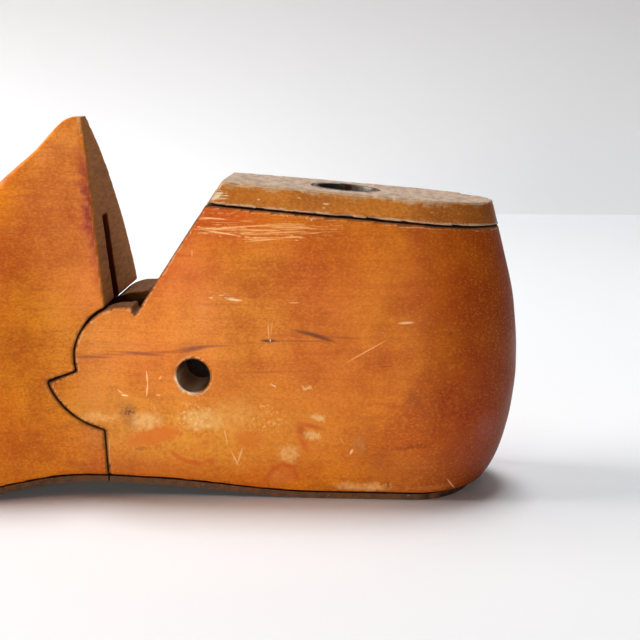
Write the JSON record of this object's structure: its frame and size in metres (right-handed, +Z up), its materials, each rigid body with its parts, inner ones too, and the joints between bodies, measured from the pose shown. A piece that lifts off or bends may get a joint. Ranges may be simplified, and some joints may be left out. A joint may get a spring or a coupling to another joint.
{
  "type": "cobbler last",
  "caption": "Hinged wooden shoe last with an iron-plated sole, a V cut over the hinge and a steel jack socket in the heel top.",
  "frame": {"origin": "middle of the last's length and width, on the surface that it stands on", "axes": "+Z up, -X towards the toe, +X towards the heel, -Y towards the inner side of the foot"},
  "size_m": [0.226, 0.0728, 0.1005],
  "materials": {
    "orange_maple": "orange-stained, waxed and worn",
    "slab_maple": "worn, edges rubbed bare",
    "sole_plate": "dark, worn",
    "socket_steel": "dull",
    "hinge_steel": "dull, oiled",
    "nail_steel": "filed flush"
  },
  "bodies": {
    "heel": {"heel_block": "orange_maple", "heel_slab": "slab_maple", "heel_plate": "sole_plate", "heel_nail_1": "nail_steel", "heel_nail_2": "nail_steel", "heel_nail_3": "nail_steel", "heel_nail_4": "nail_steel", "heel_nail_5": "nail_steel", "heel_nail_6": "nail_steel", "heel_nail_7": "nail_steel", "slab_nail_1": "nail_steel", "slab_nail_2": "nail_steel", "slab_nail_3": "nail_steel", "slab_nail_4": "nail_steel", "socket_tube": "socket_steel", "hinge_pin": "hinge_steel", "hinge_spacer_inner": "hinge_steel", "hinge_spacer_outer": "hinge_steel"},
    "fore": {"forepart": "orange_maple", "fore_plate": "sole_plate", "fore_nail_1": "nail_steel", "fore_nail_2": "nail_steel", "fore_nail_3": "nail_steel", "fore_nail_4": "nail_steel", "fore_nail_5": "nail_steel", "fore_nail_6": "nail_steel", "fore_nail_7": "nail_steel", "fore_nail_8": "nail_steel", "hinge_strap": "hinge_steel", "strap_pin_front": "hinge_steel", "strap_pin_back": "hinge_steel"}
  },
  "joints": [
    {"name": "last_hinge", "type": "hinge", "parent": "heel", "child": "fore", "pos_m": [0.007, -0.002, 0.0377], "axis": [0, 1, 0], "range_deg": [0, 25]}
  ]
}
